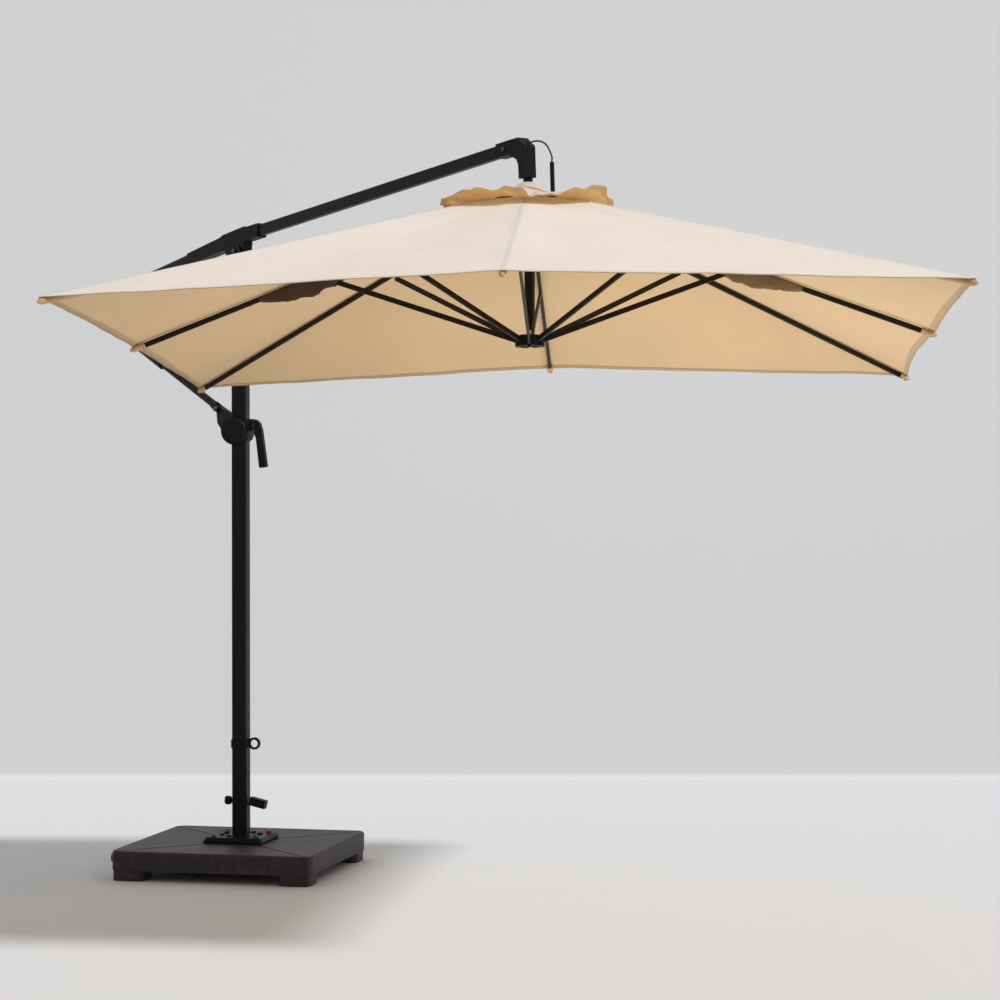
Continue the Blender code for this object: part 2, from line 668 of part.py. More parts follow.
def flap_point(azimuth, share):
    """The loose vent cover: peaked at the post, square at its edge."""
    square = 1 / max(abs(math.cos(azimuth)), abs(math.sin(azimuth)))
    radius = 0.024 + share * (FLAP_HALF * square - 0.024)
    height = 0.018 - 0.104 * share ** 0.8 * (0.75 + 0.25 * square / math.sqrt(2))
    return Vector((radius * math.cos(azimuth), radius * math.sin(azimuth), height))


def vent_flap():
    count, steps = 32, 5
    maker = bmesh.new()
    layers = []
    for lift in (0.0, FABRIC_THICK):
        grid = []
        for row in range(steps + 1):
            ring = [flap_point(2 * math.pi * k / count, row / steps) for k in range(count)]
            grid.append([maker.verts.new(point + UP * lift) for point in ring])
        layers.append(grid)
    for grid in layers:
        for low, high in zip(grid, grid[1:]):
            ring_faces(maker, low, high)
    ring_faces(maker, layers[0][0], layers[1][0])
    ring_faces(maker, layers[0][-1], layers[1][-1])
    flap = add_object("vent_flap", maker, vent_cloth(), canopy_frame())
    way = SLEEVE_TOP - SLEEVE_BOTTOM
    cut(flap, prism("flap_cord_hole", circle(0.012, 16), 0.0, 0.14, vent_cloth(),
                    frame_at(sleeve_line(1.3), way, Vector((1, 0, 0)))))


# ---- crank cord ---------------------------------------------------------------------------
CORD_RADIUS = 0.003


SLEEVE_TOP = Vector((2.060, 0.0, 2.600))
SLEEVE_BOTTOM = Vector((2.066, 0.0, 2.482))


def sleeve_line(share):
    """A point on the stiff sleeve's axis: 0 at its top, 1 at its bottom."""
    return SLEEVE_TOP.lerp(SLEEVE_BOTTOM, share)


def cord_route():
    """The cord's own points: along inside the arm, over and down into the vent."""
    inside = [ARM_JOIN + arm_direction() * d for d in (0.10, 0.5, 0.9, 1.3, 1.7, 1.88, 1.94)]
    crown = canopy_frame()
    gap_way = math.radians(-67.5)

    def beside_post(radius, height):
        return crown @ Vector((radius * math.cos(gap_way), radius * math.sin(gap_way), height))

    arc = [Vector((1.985, 0, 2.677)), Vector((2.030, 0, 2.659))]
    stiff = [sleeve_line(share) for share in (-0.17, 0.0, 0.5, 1.0, 1.12)]
    under = [beside_post(0.105, -0.050), beside_post(0.066, -0.062), beside_post(0.058, -0.11),
             beside_post(0.050, -0.32), beside_post(0.042, -0.502)]
    return inside + arc + stiff + under


def smooth_route(points, steps):
    """A Catmull-Rom curve through the points."""
    ends = [2 * points[0] - points[1]] + points + [2 * points[-1] - points[-2]]
    made = []
    for a, b, c, d in zip(ends, ends[1:], ends[2:], ends[3:]):
        for k in range(steps):
            t = k / steps
            made.append(0.5 * ((2 * b) + (c - a) * t + (2 * a - 5 * b + 4 * c - d) * t * t
                               + (3 * b - a - 3 * c + d) * t ** 3))
    return made + [points[-1]]


def crank_cord():
    curve = bpy.data.curves.new("crank_cord", "CURVE")
    curve.dimensions = "3D"
    curve.bevel_depth = CORD_RADIUS
    curve.bevel_resolution = 2
    curve.resolution_u = 1
    curve.render_resolution_u = 0
    curve.use_fill_caps = True
    points = smooth_route(cord_route(), 4)
    spline = curve.splines.new("POLY")
    spline.points.add(len(points) - 1)
    for spot, point in zip(spline.points, points):
        spot.co = (*point, 1.0)
    curve.materials.append(cord_weave())
    cord = bpy.data.objects.new("crank_cord", curve)
    bpy.context.scene.collection.objects.link(cord)
    way = SLEEVE_BOTTOM - SLEEVE_TOP
    prism("cord_sleeve", circle(0.0075, 16), 0.0, way.length, dark_plastic(),
          frame_at(SLEEVE_TOP, way, Vector((1, 0, 0))), hole=circle(0.0045, 16))


def main():
    clear_scene()
    base()
    plate()
    mast()
    slider()
    strut()
    arm()
    post()
    ribs()
    fabric()
    vent_flap()
    crank_cord()


main()
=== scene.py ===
"""Looks of the cantilever parasol: cloth, cord, finishes, floor, light and camera."""
import json
import math

import bmesh
import bpy
from mathutils import Matrix, Vector, noise


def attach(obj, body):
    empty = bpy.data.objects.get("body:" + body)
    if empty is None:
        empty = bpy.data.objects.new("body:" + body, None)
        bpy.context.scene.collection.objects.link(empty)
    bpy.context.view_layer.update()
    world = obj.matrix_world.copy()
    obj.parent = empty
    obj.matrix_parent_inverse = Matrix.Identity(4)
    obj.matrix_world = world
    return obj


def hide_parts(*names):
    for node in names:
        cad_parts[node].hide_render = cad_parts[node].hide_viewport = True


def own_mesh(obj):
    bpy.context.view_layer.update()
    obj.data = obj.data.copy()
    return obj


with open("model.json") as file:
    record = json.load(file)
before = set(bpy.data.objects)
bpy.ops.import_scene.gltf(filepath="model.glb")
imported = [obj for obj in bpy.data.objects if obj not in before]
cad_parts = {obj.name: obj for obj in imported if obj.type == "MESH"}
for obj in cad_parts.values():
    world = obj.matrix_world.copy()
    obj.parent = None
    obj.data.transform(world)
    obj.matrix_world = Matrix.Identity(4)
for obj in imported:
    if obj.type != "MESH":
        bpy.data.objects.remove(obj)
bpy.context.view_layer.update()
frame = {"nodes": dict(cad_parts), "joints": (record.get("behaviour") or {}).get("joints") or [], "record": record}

UP = Vector((0, 0, 1))
JOINTS = {j["name"]: j for j in frame["joints"]}

# ---- the canopy's driving sizes, as the ribs have them -----------------------------------
HUB_PIVOT_R = 0.035
RIB_PIVOT_Z = -0.030
SIDE_RIB_END = (1.342, -0.525)        # radius and height of the end of ribs 1 and 5
FRONT_RIB_END = (1.342, -0.482)       # ribs 3 and 7
CORNER_RIB_END = (1.909, -0.534)      # ribs 2, 4, 6 and 8
SIDE_JOINT_AT = 0.700
FABRIC_LIFT = 0.0122
RIB_TOP = 0.009
HEM_PAST_RIB = 0.010
HEM_DEEP = 0.024
HEM_HOLLOW = {1: 0.022, 2: 0.010, 3: 0.010, 4: 0.005, 5: 0.009, 6: 0.006, 7: 0.006, 8: 0.009}
CANOPY_SIDE = 2.70
VENT_HALF = 0.13
FLAP_HALF = 0.285
PANEL_SAG = 0.009
SHADED_INSIDE_DROP = 0.0009                   # from a cloth's face to its shaded inside
NEAR_CORNERS = (6, 8)                  # their pockets reach further up the rib
BASE_YAW = math.radians(42)

# ---- colours, linear ---------------------------------------------------------------------
CREAM = (0.83, 0.765, 0.685)
# painted shade: the canopy's underside sheet gets a darker, warmer tan than the cream face, for the shade under
# the cloth and the light through it
SHADED_TAN = (0.64, 0.465, 0.258)
# painted light: the vent cover's underside coloured golden for the light through the cloth
LIT_THROUGH_OCHRE = (0.96, 0.70, 0.35)
# painted shade: the sleeves are canopy cloth, coloured dark brown for the shadow they hang in, rib 5's much darker
# than rib 1's
SLEEVE_PAINTED_SHADE = {1: (0.19, 0.115, 0.055), 5: (0.060, 0.034, 0.017)}
POCKET_GOLD = (0.60, 0.38, 0.19)
FRAME_BLACK = (0.0050, 0.0040, 0.0036)
# painted light: the ribs' copy of the frame's black, lightened and warmed for light bounced from the cloth
RIB_BOUNCE_BROWN = (0.0120, 0.0078, 0.0052)
PLASTIC_BLACK = (0.0045, 0.0038, 0.0036)
BASE_BLACK = (0.030, 0.0235, 0.0235)


# ---- node helpers ------------------------------------------------------------------------
class Shader:
    """A material's nodes, added one at a time and joined by name."""

    def __init__(self, name):
        self.material = bpy.data.materials.new(name)
        self.material.use_nodes = True
        self.tree = self.material.node_tree
        self.surface = self.tree.nodes["Principled BSDF"]
        self.output = self.tree.nodes["Material Output"]

    def add(self, kind, settings=None, **inputs):
        made = self.tree.nodes.new(kind)
        for key, value in (settings or {}).items():
            setattr(made, key, value)
        for key, value in inputs.items():
            self.put(made, key.replace("_", " "), value)
        return made

    def put(self, made, socket, value):
        target = made.inputs[int(socket) if socket.isdigit() else socket]
        if isinstance(value, bpy.types.NodeSocket):
            self.tree.links.new(value, target)
        else:
            target.default_value = value

    def math(self, operation, first, second=0.0, third=0.0):
        made = self.add("ShaderNodeMath", {"operation": operation})
        for place, value in enumerate((first, second, third)):
            self.put(made, str(place), value)
        return made.outputs[0]

    def mix(self, share, first, second):
        made = self.add("ShaderNodeMix", {"data_type": "RGBA"})
        for place, value in (("0", share), ("6", first), ("7", second)):
            self.put(made, place, value)
        return made.outputs[2]

    def noise(self, scale, detail=3.0, vector=None, rough=0.5):
        made = self.add("ShaderNodeTexNoise", Scale=scale, Detail=detail, Roughness=rough)
        self.put(made, "Vector", vector or self.place())
        return made.outputs["Fac"]

    def place(self):
        return self.add("ShaderNodeTexCoord").outputs["Object"]

    def attribute(self, name):
        return self.add("ShaderNodeAttribute", {"attribute_name": name}).outputs["Fac"]

    def bump(self, height, strength, distance, after=None):
        made = self.add("ShaderNodeBump", Strength=strength, Distance=distance)
        self.put(made, "Height", height)
        if after is not None:
            self.put(made, "Normal", after)
        return made.outputs["Normal"]

    def band(self, value, low, high, soft):
        """1 between low and high, with soft edges."""
        up = self.add("ShaderNodeMapRange", From_Min=low - soft, From_Max=low)
        down = self.add("ShaderNodeMapRange", From_Min=high, From_Max=high + soft,
                        To_Min=1.0, To_Max=0.0)
        self.put(up, "Value", value)
        self.put(down, "Value", value)
        return self.math("MULTIPLY", up.outputs[0], down.outputs[0])


def rgba(colour):
    return (*colour, 1.0)


def scaled(colour, share):
    return tuple(c * share for c in colour)


# ---- finishes ----------------------------------------------------------------------------
def coated(name, colour, rough, grain, depth, metallic=0.0, worn=0.25, gloss=0.12):
    """Paint or moulded plastic: a fine grain, cloudy gloss and a little dust."""
    made = Shader(name)
    cloud = made.noise(9.0, 5.0)
    dust = made.noise(55.0, 6.0)
    share = made.math("MULTIPLY", made.math("MULTIPLY", cloud, dust), 1.4)
    made.put(made.surface, "Base Color",
             made.mix(share, rgba(colour), rgba(scaled(colour, 1 + 2.4 * worn))))
    made.put(made.surface, "Roughness", made.math("MULTIPLY_ADD", cloud, 0.22, rough - 0.11))
    made.put(made.surface, "Metallic", metallic)
    made.put(made.surface, "Specular IOR Level", gloss)
    made.put(made.surface, "Normal", made.bump(made.noise(grain, 2.0), 0.35, depth))
    return made.material


def base_plastic():
    """Blow-moulded tank: a coarse grain and shallow creases out to the corners."""
    made = Shader("tank_plastic")
    turned = made.add("ShaderNodeMapping", Rotation=(0, 0, -BASE_YAW))
    made.put(turned, "Vector", made.place())
    parts = made.add("ShaderNodeSeparateXYZ")
    made.put(parts, "Vector", turned.outputs[0])
    waver = made.math("MULTIPLY_ADD", made.noise(5.0, 2.0), 0.05, -0.025)
    across = made.math("ABSOLUTE", parts.outputs["X"])
    along = made.math("ABSOLUTE", made.math("ADD", parts.outputs["Y"], waver))
    off_line = made.math("ABSOLUTE", made.math("SUBTRACT", across, along))
    crease = made.add("ShaderNodeMapRange", {"interpolation_type": "SMOOTHSTEP"},
                      From_Min=0.0, From_Max=0.030, To_Min=1.0, To_Max=0.0)
    made.put(crease, "Value", off_line)
    folds = made.bump(crease.outputs[0], 0.9, 0.009)
    swell = made.bump(made.noise(7.0, 3.0), 0.5, 0.010, folds)
    grain = made.bump(made.noise(420.0, 3.0), 0.35, 0.0006, swell)
    scuff = made.noise(30.0, 8.0, rough=0.7)
    share = made.band(scuff, 0.58, 0.9, 0.06)
    made.put(made.surface, "Base Color",
             made.mix(made.math("MULTIPLY", share, 0.35), rgba(BASE_BLACK),
                      rgba(scaled(BASE_BLACK, 2.1))))
    made.put(made.surface, "Roughness", made.math("MULTIPLY_ADD", scuff, 0.25, 0.36))
    made.put(made.surface, "Specular IOR Level", 0.22)
    made.put(made.surface, "Normal", grain)
    return made.material


def zinc():
    made = Shader("zinc")
    made.put(made.surface, "Base Color", rgba((0.085, 0.080, 0.076)))
    made.put(made.surface, "Metallic", 1.0)
    made.put(made.surface, "Roughness",
             made.math("MULTIPLY_ADD", made.noise(160.0, 4.0), 0.3, 0.22))
    made.put(made.surface, "Normal", made.bump(made.noise(600.0), 0.2, 0.0003))
    return made.material


def cord_weave():
    made = Shader("cord_weave")
    place = made.place()
    one = made.add("ShaderNodeTexWave", {"bands_direction": "DIAGONAL"}, Scale=110.0)
    two = made.add("ShaderNodeTexWave", {"bands_direction": "Z"}, Scale=90.0)
    made.put(one, "Vector", place)
    made.put(two, "Vector", place)
    plait = made.math("MULTIPLY", one.outputs["Fac"], two.outputs["Fac"])
    made.put(made.surface, "Base Color", made.mix(plait, rgba((0.010, 0.010, 0.011)),
                                                  rgba((0.055, 0.053, 0.05))))
    made.put(made.surface, "Roughness", 0.8)
    made.put(made.surface, "Normal", made.bump(plait, 0.8, 0.0008))
    return made.material


def cloth(name, face, glow_colour, through, crumple, doubled=0.12):
    """Woven polyester that lets some light through; where it is doubled, painted shade darkens its colour and less
    light goes through.
    """
    made = Shader(name)
    run = made.attribute("run")
    across = made.attribute("across")
    hem = made.attribute("hem")
    weave = []
    for value in (run, across):
        thread = made.math("SINE", made.math("MULTIPLY", value, 2 * math.pi / 0.0016))
        weave.append(made.math("MULTIPLY_ADD", thread, 0.5, 0.5))
    threads = made.math("MAXIMUM", *weave)
    place = made.place()
    shade = made.noise(3.2, 5.0, place)
    slub = made.noise(90.0, 3.0, place)
    tone = made.math("ADD", made.math("MULTIPLY", shade, 0.7), made.math("MULTIPLY", slub, 0.3))

    seam = made.math("ABSOLUTE", across)
    tape = made.band(seam, -1.0, 0.0050, 0.0012)
    double = made.band(hem, -1.0, HEM_DEEP, 0.0015)
    dash_seam = made.band(made.math("FRACT", made.math("DIVIDE", run, 0.0045)), 0.12, 0.8, 0.1)
    dash_hem = made.band(made.math("FRACT", made.math("DIVIDE", across, 0.0045)), 0.12, 0.8, 0.1)
    stitch_seam = made.math("MULTIPLY", made.band(seam, 0.0044, 0.0056, 0.0003), dash_seam)
    stitch_hem = made.math("MULTIPLY", made.band(hem, 0.0195, 0.0207, 0.0003), dash_hem)
    stitches = made.math("MAXIMUM", stitch_seam, stitch_hem)
    layers = made.math("MAXIMUM", tape, double)

    colour = made.mix(tone, rgba(scaled(face, 0.88)), rgba(scaled(face, 1.10)))
    # painted shade: colour darkened where the cloth is doubled, for the light that the extra layer holds back
    colour = made.mix(made.math("MULTIPLY", layers, doubled), colour, rgba(scaled(face, 0.45)))
    colour = made.mix(made.math("MULTIPLY", stitches, 0.5), colour, rgba(scaled(face, 0.5)))

    waves = made.noise(14.0, 4.0, place, 0.55)
    folds = made.bump(waves, crumple, 0.02)
    raised = made.bump(made.math("ADD", made.math("MULTIPLY", layers, 0.4), stitches), 0.3, 0.0009,
                       folds)
    normal = made.bump(threads, 0.25, 0.0003, raised)
    for socket, value in (("Base Color", colour), ("Normal", normal), ("Roughness", 0.82),
                          ("Sheen Weight", 0.12), ("Sheen Roughness", 0.5),
                          ("Specular IOR Level", 0.25)):
        made.put(made.surface, socket, value)
    glow = made.add("ShaderNodeBsdfTranslucent")
    made.put(glow, "Color", made.mix(made.math("MULTIPLY", layers, doubled * 1.6),
                                     rgba(glow_colour), rgba(scaled(glow_colour, 0.4))))
    blend = made.add("ShaderNodeMixShader", Fac=through)
    made.put(blend, "1", made.surface.outputs[0])
    made.put(blend, "2", glow.outputs[0])
    made.put(made.output, "Surface", blend.outputs[0])
    return made.material


def dress_the_frame():
    """Gives every CAD node the finish that its slot has, and the ribs a browner copy of the frame's black, with
    warm bounce light painted into it.
    """
    looks = {
        "painted_steel": coated("painted_steel", FRAME_BLACK, 0.42, 700.0, 0.0005),
        "dark_plastic": coated("dark_plastic", PLASTIC_BLACK, 0.50, 480.0, 0.0007),
        "base_plastic": base_plastic(),
        "plated_steel": zinc(),
        # painted light: the frame's black paint made browner for the ribs, standing in for warm bounced light
        "rib_bounce_lit": coated("rib_bounce_lit", RIB_BOUNCE_BROWN, 0.42, 700.0, 0.0005),
        "red_plastic": coated("red_plastic", (0.36, 0.018, 0.02), 0.35, 500.0, 0.0003),
        "sand": coated("sand", (0.45, 0.36, 0.24), 0.9, 200.0, 0.002),
    }
    for part in frame["record"]["subparts"]:
        slot = "rib_bounce_lit" if part["node"].startswith("rib_") else part["material_slot"]
        look = looks.get(slot)
        if look is None:
            continue
        mesh = frame["nodes"][part["node"]].data
        if not mesh.materials:
            mesh.materials.append(look)
        for place in range(len(mesh.materials)):
            mesh.materials[place] = look


# ---- where the canopy is -----------------------------------------------------------------
def rib_joint(number):
    return JOINTS.get(f"rib_{number}_fold") or JOINTS["canopy_fold"]


def crown_frame():
    """The canopy's own frame: its axis up, rib 1 along X, worked out from the ribs' pivots."""
    pivots = [Vector(rib_joint(number)["pos_m"]) for number in range(1, 9)]
    middle = sum(pivots, Vector()) / 8
    across = (pivots[0] - pivots[4]).normalized()
    up = across.cross((pivots[2] - pivots[6]).normalized()).normalized()
    side = up.cross(across)
    turn = Matrix((across, side, up)).transposed().to_4x4()
    return Matrix.Translation(middle - up * RIB_PIVOT_Z) @ turn


CROWN = crown_frame()


def rib_azimuth(number):
    return math.radians(45 * (number - 1))


def rib_end(number):
    if number % 2 == 0:
        return CORNER_RIB_END
    return SIDE_RIB_END if number in (1, 5) else FRONT_RIB_END


def rib_angle(number):
    radius, height = rib_end(number)
    return math.atan2(RIB_PIVOT_Z - height, radius - HUB_PIVOT_R)


def rib_line(number, along, lift):
    """A point on the rib's axis, `along` from its pivot, raised square to the rib."""
    angle, azimuth = rib_angle(number), rib_azimuth(number)
    radius = HUB_PIVOT_R + along * math.cos(angle) + lift * math.sin(angle)
    height = RIB_PIVOT_Z - along * math.sin(angle) + lift * math.cos(angle)
    return Vector((radius * math.cos(azimuth), radius * math.sin(azimuth), height))


def rib_length(number):
    radius, height = rib_end(number)
    return math.hypot(radius - HUB_PIVOT_R, height - RIB_PIVOT_Z)


def outward(number):
    azimuth = rib_azimuth(number)
    return Vector((math.cos(azimuth), math.sin(azimuth), 0))


def sideways(number):
    azimuth = rib_azimuth(number)
    return Vector((-math.sin(azimuth), math.cos(azimuth), 0))


# ---- cloth -------------------------------------------------------------------------------
def wrapped(number):
    return (number - 1) % 8 + 1


def over_rib(number, share):
    angle = rib_angle(number)
    radius = share * (rib_end(number)[0] + HEM_PAST_RIB)
    height = RIB_PIVOT_Z - (share * rib_end(number)[0] - HUB_PIVOT_R) * math.tan(angle)
    height += FABRIC_LIFT / math.cos(angle)
    return outward(number) * radius + UP * height


def taut(sector, within, share):
    """The stretched cloth between rib `sector` and the next one, in the canopy's frame."""
    first, second = over_rib(sector, share), over_rib(wrapped(sector + 1), share)
    point = first.lerp(second, within)
    hollow = 1 - HEM_HOLLOW[sector] / CANOPY_SIDE * 2 * share * math.sin(math.pi * within)
    bell = math.sin(math.pi * within)
    sag = PANEL_SAG * bell * max(0.0, math.sin(math.pi * min(1.0, share)))
    return Vector((point.x * hollow, point.y * hollow, point.z - sag))


def creased(sector, within, share):
    """The stretched cloth with its tension lines, pucker at the seams and loose hem."""
    point = taut(sector, within, share)
    edge = min(within, 1 - within)
    width = (over_rib(sector, share) - over_rib(wrapped(sector + 1), share)).length
    from_seam = edge * width
    ray = noise.noise(Vector((sector * 7.3 + within * 9.0, share * 1.6, 0.4)))
    cross = noise.noise(Vector((point.x * 5.5, point.y * 5.5, 2.0 + share)))
    lift = 0.0028 * ray * min(1.0, from_seam / 0.08) + 0.0016 * cross * min(1.0, from_seam / 0.05)
    run = point.length
    lift += 0.0007 * math.exp(-from_seam / 0.03) * math.sin(run * 2 * math.pi / 0.045) \
        * min(1.0, from_seam / 0.006)
    ripple = noise.noise(Vector((point.x * 3.1, point.y * 3.1, 9.0)))
    lift += 0.0030 * ripple * max(0.0, (share - 0.9) / 0.1) * min(1.0, from_seam / 0.05)
    return point + UP * max(lift, -0.0015 if from_seam < 0.02 else -0.01)


def cloth_piece(name, grid, values, look):
    """A sheet from rows of points, with named values at each: run, across and hem, in metres."""
    maker = bmesh.new()
    layers = {key: maker.verts.layers.float.new(key) for key in ("run", "across", "hem")}
    rows = []
    for line, facts in zip(grid, values):
        row = []
        for point, fact in zip(line, facts):
            vert = maker.verts.new(point)
            for key, value in zip(("run", "across", "hem"), fact):
                vert[layers[key]] = value
            row.append(vert)
        rows.append(row)
    for low, high in zip(rows, rows[1:]):
        for k in range(len(low) - 1):
            maker.faces.new((low[k], high[k], high[k + 1], low[k + 1]))
    mesh = bpy.data.meshes.new(name)
    maker.to_mesh(mesh)
    maker.free()
    mesh.materials.append(look)
    for face in mesh.polygons:
        face.use_smooth = True
    made = bpy.data.objects.new(name, mesh)
    bpy.context.scene.collection.objects.link(made)
    return made


def panel_grid(number, drop):
    """Rows of points over half a gore each side of rib `number`, with their named values."""
    rows, half = 56, 26
    start = VENT_HALF / (CANOPY_SIDE / 2)
    full = rib_length(number)
    grid, values = [], []
    for row in range(rows + 1):
        share = start + (1 - start) * row / rows
        line, facts = [], []
        for k in range(-half, half + 1):
            within = 0.5 * k / half
            sector = wrapped(number - 1) if k < 0 else number
            point = creased(sector, within + 1 if k < 0 else within, share) - UP * drop
            line.append(CROWN @ point)
            facts.append((share * full, sideways(number).dot(point), (1 - share) * full))
        grid.append(line)
        values.append(facts)
    return grid, values


def turned_hem(grid, values):
    """Adds the hem, folded back under the edge of the cloth."""
    ends, inner, facts = grid[-1], grid[-2], values[-1]
    down = CROWN.to_3x3() @ UP * -1
    for back, drop in ((0.0, 0.0016), (HEM_DEEP, 0.0022)):
        grid.append([end + (more - end).normalized() * back + down * drop
                     for end, more in zip(ends, inner)])
        values.append([(run - back, across, back) for run, across, _ in facts])


def panel(number, look, shaded_inside_look):
    """The canopy's share that rib `number` carries, as its face and its shaded inside."""
    grid, values = panel_grid(number, 0.0)
    face = cloth_piece(f"canopy_panel_{number}", grid, values, look)
    grid, values = panel_grid(number, SHADED_INSIDE_DROP)
    turned_hem(grid, values)
    return face, cloth_piece(f"canopy_inside_{number}", grid, values, shaded_inside_look)


def match_normals(pieces):
    """Gives points that two panels share the same normal, so that their join doesn't show."""
    sums = {}
    for piece in pieces:
        for vert in piece.data.vertices:
            key = tuple(round(c, 4) for c in vert.co)
            sums[key] = sums.get(key, Vector()) + vert.normal
    for piece in pieces:
        normals = [sums[tuple(round(c, 4) for c in vert.co)].normalized()
                   for vert in piece.data.vertices]
        piece.data.normals_split_custom_set_from_vertices(normals)


def pocket(number, look):
    """The pocket of doubled cloth that holds a rib's tip, drawn to a point past its end."""
    rows, steps = 14, 20
    grid, values = [], []
    side = sideways(number)
    back = 0.14 if number in NEAR_CORNERS else 0.040
    for row in range(rows + 1):
        share = row / rows
        past = max(0.0, 1 - (1 - share) * (back + 0.016) / 0.022)
        close = math.sqrt(max(0.0, 1 - past ** 2))
        along = rib_length(number) - back + (back + 0.016) * share
        line, facts = [], []
        for k in range(steps + 1):
            turn = 2 * math.pi * k / steps
            crumple = 0.0022 * noise.noise(Vector((number * 3 + share * 5.0, math.cos(turn) * 2,
                                                   math.sin(turn) * 2)))
            wide = (0.0105 + crumple) * (0.15 + 0.85 * close)
            deep = (0.0105 + crumple) * (0.12 + 0.88 * close)
            middle = rib_line(number, along, 0.0008 + deep * math.sin(turn))
            line.append(CROWN @ (middle + side * wide * math.cos(turn)))
            facts.append((share * (back + 0.016), 0.02 + turn * 0.01, 0.03))
        grid.append(line)
        values.append(facts)
    return cloth_piece(f"rib_pocket_{number}", grid, values, look)


def joint_sleeve(number, look):
    """The loose sleeve of cloth round the rib where its strut meets it, sagging in folds."""
    rows, steps = 40, 28
    grid, values = [], []
    side = sideways(number)
    for row in range(rows + 1):
        share = row / rows
        along = SIDE_JOINT_AT - 0.17 + 0.41 * share
        full = max(0.0, math.sin(math.pi * share)) ** 0.8
        line, facts = [], []
        for k in range(steps + 1):
            turn = 2 * math.pi * (k % steps) / steps
            low = max(0.0, -math.sin(turn))
            fold = noise.noise(Vector((number * 2.7 + share * 9.0, turn * 0.9, 0.3)))
            pleat = noise.noise(Vector((share * 26.0, math.cos(turn), number * 1.0)))
            wide = 0.0098 + full * (0.006 + 0.005 * fold)
            deep = 0.0095 + low * full * (0.044 + 0.014 * fold + 0.006 * pleat)
            height = min(deep * math.sin(turn), RIB_TOP + 0.0012)
            middle = rib_line(number, along, height)
            line.append(CROWN @ (middle + side * wide * math.cos(turn)))
            facts.append((share * 0.41, 0.02 + turn * 0.01, 0.03))
        grid.append(line)
        values.append(facts)
    return cloth_piece(f"joint_sleeve_{number}", grid, values, look)


def flap_height(azimuth, share):
    """The loose vent cover: sagging from the post, its edge lifted here and turned down there."""
    where = Vector((math.cos(azimuth), math.sin(azimuth), 0))
    slow = noise.noise(where * 1.5 + Vector((3.1, 0.2, share * 0.8)))
    fast = noise.noise(where * 3.6 + Vector((0.4, 5.0, share * 1.3)))
    fine = noise.noise(where * 8.0 + Vector((7.0, 1.0, share * 4.0)))
    pleat = abs(noise.noise(where * 5.5 + Vector((1.0, 2.0, share * 2.0))))
    base = 0.014 - 0.098 * math.sin(min(share, 1.0) * math.pi * 0.55) + 0.040 * share ** 3
    roll = share ** 2 * (0.040 * slow + 0.020 * fast + 0.009 * fine + 0.012 * pleat)
    turned = max(0.0, share - 0.82) / 0.18
    return base + roll - 0.030 * turned ** 2 * max(0.0, min(1.0, 0.5 + 3.5 * fast))


def flap_point(azimuth, share):
    square = 1 / max(abs(math.cos(azimuth)), abs(math.sin(azimuth)))
    soft = 0.75 * square + 0.25 * 1.12
    rag = noise.noise(Vector((math.cos(azimuth) * 4, math.sin(azimuth) * 4, 6.0)))
    reach = 0.0235 + share * ((FLAP_HALF - 0.006) * soft * (1 + 0.035 * rag) - 0.0235)
    swing = 0.02 * noise.noise(Vector((math.cos(azimuth) * 3, math.sin(azimuth) * 3, share * 2)))
    turn = azimuth + swing * share
    return Vector((reach * math.cos(turn), reach * math.sin(turn), flap_height(azimuth, share)))


def vent_flap(name, look, drop):
    """One face of the vent cover, all the way round the post."""
    steps, count = 34, 192
    grid, values = [], []
    for row in range(steps + 1):
        share = row / steps
        turns = [2 * math.pi * (k % count) / count for k in range(count + 1)]
        grid.append([CROWN @ (flap_point(turn, share) - UP * drop) for turn in turns])
        values.append([(share * 0.3, 0.1 + share * 0.3 * turn, (1 - share) * 0.3)
                       for turn in turns])
    return cloth_piece(name, grid, values, look)


def canopy():
    outer = cloth("canopy_cloth", CREAM, (0.90, 0.80, 0.68), 0.20, 0.16, 0.03)
    # painted shade: the same cloth again under the face, coloured tan for the shade and the light through it
    within = cloth("canopy_inside_cloth", SHADED_TAN, (0.84, 0.68, 0.49), 0.40, 0.16, 0.14)
    vent = cloth("vent_cloth", scaled(CREAM, 0.97), (0.95, 0.80, 0.58), 0.35, 0.3)
    # painted light: the vent cover's inside is the same cloth, coloured ochre for light coming through it
    vent_within = cloth("vent_inside_cloth", LIT_THROUGH_OCHRE, (0.95, 0.70, 0.38), 0.50, 0.3, 0.2)
    gold = cloth("pocket_cloth", POCKET_GOLD, (0.8, 0.5, 0.25), 0.20, 0.5)
    pieces = []
    for number in range(1, 9):
        face, inside = panel(number, outer, within)
        trims = [pocket(number, gold)]
        if number in SLEEVE_PAINTED_SHADE:
            # painted shade: the sleeve's cloth takes the dark brown of the shadow under the canopy
            sleeve_shade_look = cloth(f"sleeve_cloth_{number}", SLEEVE_PAINTED_SHADE[number], (0.30, 0.18, 0.08),
                          0.12, 0.5)
            trims.append(joint_sleeve(number, sleeve_shade_look))
        pieces.append((number, face, inside, trims))
    match_normals([face for _, face, _, _ in pieces])
    match_normals([inside for _, _, inside, _ in pieces])
    for number, face, inside, trims in pieces:
        for piece in [face, inside, *trims]:
            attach(piece, f"rib_{number}")
        for piece in (face, inside):
            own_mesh(piece)
        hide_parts("canopy_fabric")
    flap = vent_flap("vent_flap_cloth", vent, 0.0)
    under = vent_flap("vent_flap_inside", vent_within, SHADED_INSIDE_DROP)
    for piece in (flap, under):
        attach(piece, "arm")
    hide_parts("vent_flap")


